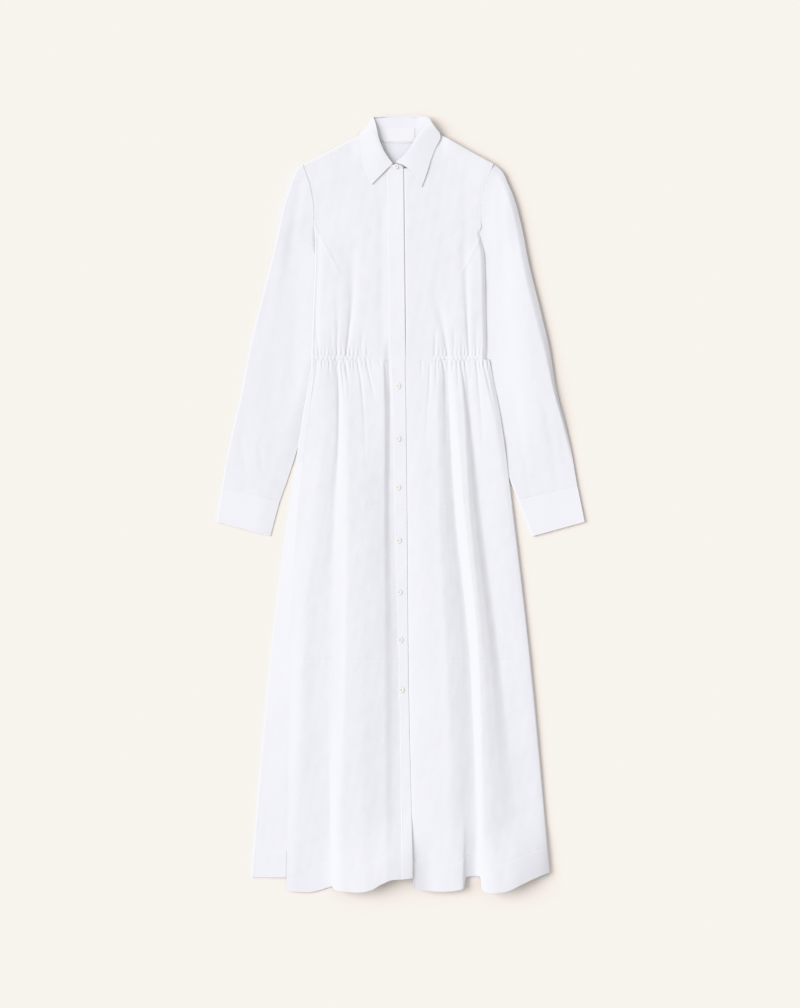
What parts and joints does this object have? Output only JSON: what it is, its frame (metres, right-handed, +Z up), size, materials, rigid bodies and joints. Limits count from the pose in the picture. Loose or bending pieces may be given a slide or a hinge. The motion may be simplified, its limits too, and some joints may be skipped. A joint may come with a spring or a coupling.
{
  "type": "shirt dress",
  "caption": "Long white button-front shirt dress with a pointed collar, gathered waist, three-tier skirt and cuffed sleeves, laid flat.",
  "frame": {"origin": "on the surface that the dress lies on, under the middle of its outline", "axes": "+X to the wearer's left, +Y from hem to collar, +Z up, away from the surface"},
  "size_m": [0.664, 1.4009, 0.0177],
  "materials": {
    "poplin": "white cotton poplin, crisp, fine plain weave",
    "band": "the same poplin, doubled and pressed",
    "label": "bare white woven label",
    "button": "pearly white shirt button"
  },
  "bodies": {
    "root": {"bodice_front_right": "poplin", "bodice_front_left": "poplin", "bodice_back": "poplin", "bodice_band": "band", "skirt_front_right_upper": "poplin", "skirt_front_right_middle": "poplin", "skirt_front_right_lower": "poplin", "skirt_front_left_upper": "poplin", "skirt_front_left_middle": "poplin", "skirt_front_left_lower": "poplin", "skirt_back_upper": "poplin", "skirt_back_middle": "poplin", "skirt_back_lower": "poplin", "skirt_band": "band", "sleeve_right": "poplin", "sleeve_left": "poplin", "cuff_right": "band", "cuff_left": "band", "collar_leaf": "band", "collar_stand": "band", "neck_label": "label", "neck_button": "button", "skirt_button_1": "button", "skirt_button_2": "button", "skirt_button_3": "button", "skirt_button_4": "button", "skirt_button_5": "button", "skirt_button_6": "button", "skirt_button_7": "button"}
  },
  "joints": []
}
